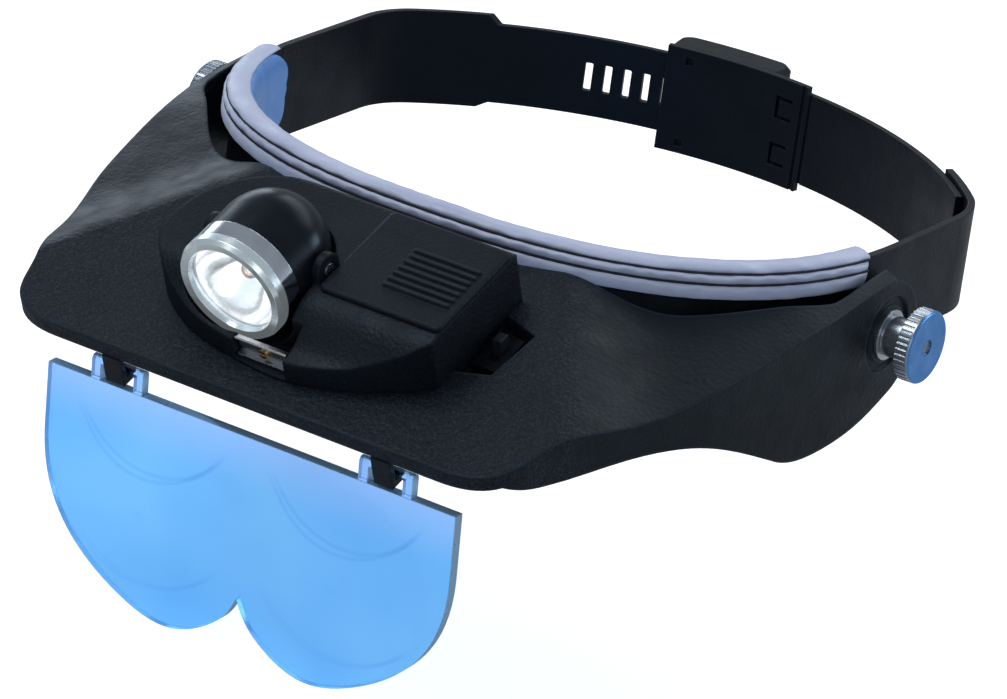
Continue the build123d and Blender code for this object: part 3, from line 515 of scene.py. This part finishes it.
def puff(piece, pinned, pressure, limit_mm, frames=14):
    """Blow a closed form up with a short cloth simulation, then write it into the mesh."""
    scale = 20.0
    start = [v.co.copy() for v in piece.data.vertices]
    for v in piece.data.vertices:
        v.co = v.co * scale
    group = piece.vertex_groups.new(name="held")
    for index, weight in pinned.items():
        group.add([index], weight, "REPLACE")
    cloth = piece.modifiers.new("puff", "CLOTH")
    settings = cloth.settings
    settings.quality = 6
    settings.mass = 0.4
    settings.tension_stiffness = 12
    settings.compression_stiffness = 12
    settings.shear_stiffness = 5
    settings.bending_stiffness = 0.6
    settings.air_damping = 2
    settings.use_pressure = True
    settings.uniform_pressure_force = pressure
    settings.vertex_group_mass = "held"
    settings.shrink_min = -0.04
    settings.effector_weights.gravity = 0
    cloth.collision_settings.use_collision = False
    scene = bpy.context.scene
    cloth.point_cache.frame_start = 1
    cloth.point_cache.frame_end = frames
    for number in range(1, frames + 1):
        scene.frame_set(number)
    shape = piece.evaluated_get(bpy.context.evaluated_depsgraph_get()).data
    moved = [v.co.copy() / scale for v in shape.vertices]
    piece.modifiers.remove(cloth)
    piece.vertex_groups.remove(group)
    scene.frame_set(1)
    limit = limit_mm * MM
    for v, old, new in zip(piece.data.vertices, start, moved):
        step = new - old
        if step.length > limit:
            step = step.normalized() * limit
        v.co = old + step


def dome(distance, radius):
    """0 at the very end, rising in a quarter round to 1 at one radius in."""
    inside = min(max(distance / radius, 0.0), 1.0)
    return math.sqrt(max(0.0, 1 - (1 - inside) ** 2))


def pad_lining():
    """The inner face of the pad: a long cushion with round ends against the band."""
    profile = (
        (-0.2, 17.9), (-0.9, 18.9), (-1.9, 19.0), (-2.7, 18.2), (-3.0, 16.4), (-3.05, 13.8), (-3.05, 11.2),
        (-3.05, 8.6), (-3.05, 6.0), (-3.05, 3.4), (-3.05, 0.8), (-3.0, -1.8), (-2.8, -4.0), (-2.2, -5.4),
        (-1.2, -5.9), (-0.3, -5.2), (-0.2, -2.0), (-0.2, 3.0), (-0.2, 8.0), (-0.2, 13.0),
    )
    middle = 6.6
    stations, total = ring_stations(3.0, 2.3)
    loops = []
    held = {}
    index = 0
    for angle, along in stations:
        near = min(along, total - along) + 0.25
        tall = max(dome(near, 12.6), 0.16)
        thick = 0.35 + 0.65 * dome(near, 3.0)
        loop = []
        for grow, height in profile:
            point = ring_point(angle, -0.2 + (grow + 0.2) * thick, middle + (height - middle) * tall)
            loop.append(point * MM)
            if grow > -2.0:
                held[index] = 1.0
            elif near < 3.0:
                held[index] = 0.7
            index += 1
        loops.append(loop)
    piece = mesh_object("pad_lining", sweep_loops(loops))
    puff(piece, held, 3.0, 0.5)
    piece.data.materials.append(MATERIALS["pad_inner"])
    smooth = piece.modifiers.new("smooth", "SUBSURF")
    smooth.levels = 2
    smooth.render_levels = 2
    apply_modifier(piece, smooth)
    return piece


PAD_GROOVES = ((3.25, 15.15), (2.95, 17.75))


def pad_rim():
    """The outer part of the pad: three soft ribs with sewn channels, rolled over the band."""
    rib = 4.15
    (low_groove, low_height), (high_groove, high_height) = PAD_GROOVES
    profile = (
        (2.1, 11.6), (2.9, 11.0), (3.8, 11.3), (rib, 12.1), (rib + 0.1, 13.4), (rib, low_height - 0.6),
        (low_groove, low_height), (rib, low_height + 0.6), (rib + 0.05, 16.5), (rib, high_height - 0.55),
        (high_groove, high_height), (3.7, high_height + 0.5), (3.2, 18.95), (2.5, 19.4), (1.4, 19.75), (0.0, 19.85), (-1.2, 19.7), (-2.0, 19.25), (-1.9, 18.9), (-0.9, 19.0), (0.6, 19.1), (1.9, 19.0),
        (2.0, 16.5), (2.0, 14.0),
    )
    stations, total = ring_stations(-1.4, 2.2)
    middle_z = 15.4
    loops = []
    held = {}
    index = 0
    for angle, along in stations:
        near = min(along, total - along) + 0.15
        full = max(dome(near, 2.6), 0.25)
        loop = []
        for grow, height in profile:
            if height > 18.0 or grow < 1.0:
                point = ring_point(angle, grow, height - 0.5 * (1 - full))
            else:
                point = ring_point(angle, 2.0 + (grow - 2.0) * full, middle_z + (height - middle_z) * (0.6 + 0.4 * full))
            loop.append(point * MM)
            if grow in (low_groove, high_groove) or grow <= 2.1 and height < 19.15 or near < 1.0:
                held[index] = 1.0
            index += 1
        loops.append(loop)
    piece = mesh_object("pad_rim", sweep_loops(loops))
    puff(piece, held, 2.0, 0.22)
    piece.data.materials.append(MATERIALS["pad_rim"])
    smooth = piece.modifiers.new("smooth", "SUBSURF")
    smooth.levels = 2
    smooth.render_levels = 2
    apply_modifier(piece, smooth)
    return piece


def pad_seams():
    """The threads sunk in the two channels, as thin twisted cords."""
    stations, _ = ring_stations(-2.6, 1.6)
    bm = bmesh.new()
    sides = 6
    for grow, height in PAD_GROOVES:
        rows = []
        for k, (angle, _) in enumerate(stations):
            row = []
            swell = 0.34 + 0.03 * math.sin(k * 2.4)
            for i in range(sides):
                turn = 2 * math.pi * i / sides
                row.append(
                    bm.verts.new(ring_point(angle, grow + 0.38 + swell * math.cos(turn), height + swell * math.sin(turn)) * MM)
                )
            rows.append(row)
        for first, second in zip(rows[:-1], rows[1:]):
            for i in range(sides):
                j = (i + 1) % sides
                bm.faces.new((first[i], first[j], second[j], second[i]))
        bm.faces.new(rows[0])
        bm.faces.new(rows[-1])
    piece = mesh_object("pad_seams", bm)
    piece.data.materials.append(MATERIALS["thread"])
    return piece


lining = pad_lining()
rim = pad_rim()
seams = pad_seams()
for piece in (lining, rim, seams):
    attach(piece, "head_band")
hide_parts("comfort_pad")
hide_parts("comfort_pad")


# ------------------------------------------------------------------ floor, light and camera
def plain_floor():
    """A plain pale floor just under the lowest point of the object."""
    low = min(corner.z for corner in (cad_bounds[0], cad_bounds[1])) if hasattr(cad_bounds[0], "z") else cad_bounds[0][2]
    bpy.ops.mesh.primitive_plane_add(size=12, location=(0, 0, low - 0.0005))
    floor = bpy.context.object
    floor.name = "floor"
    g = Graph("floor_pale")
    tone = g.mix(g.span(g.noise(3.0), 0.3, 0.7, 0.0, 1.0), (0.55, 0.56, 0.57), (0.57, 0.575, 0.58))
    sight = g.add("ShaderNodeLightPath")
    seen = g.math("MAXIMUM", sight.outputs["Is Camera Ray"], sight.outputs["Is Transmission Ray"])
    glow = g.math("MULTIPLY", seen, 0.80)
    g.set(Base_Color=tone, Roughness=0.75, Specular_IOR_Level=0.1)
    floor.data.materials.append(g.set(Emission_Color=(0.97, 0.98, 1.0), Emission_Strength=glow))


def area_light(name, location, target, size, power, colour=(1, 1, 1)):
    """A soft rectangular light aimed at a point."""
    data = bpy.data.lights.new(name, "AREA")
    data.shape = "RECTANGLE"
    data.size, data.size_y = size
    data.energy = power
    data.color = colour
    light = bpy.data.objects.new(name, data)
    bpy.context.scene.collection.objects.link(light)
    light.location = location
    aim = Vector(target) - Vector(location)
    light.rotation_euler = aim.to_track_quat("-Z", "Y").to_euler()


def studio():
    """Soft white surroundings with large soft lights."""
    world = bpy.data.worlds.new("studio")
    bpy.context.scene.world = world
    world.use_nodes = True
    tree = world.node_tree
    background = tree.nodes["Background"]
    background.inputs["Color"].default_value = (0.78, 0.89, 1.0, 1)
    sight = tree.nodes.new("ShaderNodeLightPath")
    strength = tree.nodes.new("ShaderNodeMapRange")
    strength.inputs["To Min"].default_value = 0.32
    strength.inputs["To Max"].default_value = 1.35
    seen = tree.nodes.new("ShaderNodeMath")
    seen.operation = "MAXIMUM"
    tree.links.new(sight.outputs["Is Camera Ray"], seen.inputs[0])
    tree.links.new(sight.outputs["Is Transmission Ray"], seen.inputs[1])
    tree.links.new(seen.outputs["Value"], strength.inputs["Value"])
    tree.links.new(strength.outputs["Result"], background.inputs["Strength"])
    area_light("key", (-0.5, -0.5, 1.3), (0, -0.05, 0), (0.9, 0.6), 8)
    area_light("front", (0.9, -1.2, 0.45), (0, -0.05, 0), (0.8, 0.8), 2.2, (0.93, 0.96, 1.0))
    area_light("left_sheen", (-1.0, 0.75, 0.4), (0, -0.05, 0), (0.6, 0.5), 2.2, (0.78, 0.88, 1.0))
    area_light("right_sheen", (1.0, 0.9, 0.3), (0.05, -0.04, 0), (0.5, 0.4), 3.5, (0.78, 0.88, 1.0))
    area_light("back", (0.1, 0.9, 0.9), (0, 0, 0), (1.4, 0.5), 4)


def photo_camera():
    """The camera at the photograph's viewing angle."""
    azimuth = math.radians(30.89)
    height = math.radians(21.445)
    roll = math.radians(7.824)
    back = Vector(
        (math.sin(azimuth) * math.cos(height), -math.cos(azimuth) * math.cos(height), math.sin(height))
    )
    side = Vector((math.cos(azimuth), math.sin(azimuth), 0))
    upward = back.cross(side)
    right = side * math.cos(roll) + upward * math.sin(roll)
    up = upward * math.cos(roll) - side * math.sin(roll)
    data = bpy.data.cameras.new("camera")
    data.sensor_fit = "HORIZONTAL"
    data.sensor_width = 36
    data.lens = 220.13
    data.clip_start = 0.01
    data.clip_end = 20
    camera = bpy.data.objects.new("camera", data)
    bpy.context.scene.collection.objects.link(camera)
    turn = Matrix((right, up, back)).transposed().to_4x4()
    camera.matrix_world = Matrix.Translation((0.7135, -1.2079, 0.5149)) @ turn
    bpy.context.scene.camera = camera


plain_floor()
studio()
photo_camera()
bpy.context.scene.view_settings.view_transform = "Standard"
bpy.context.scene.view_settings.look = "None"
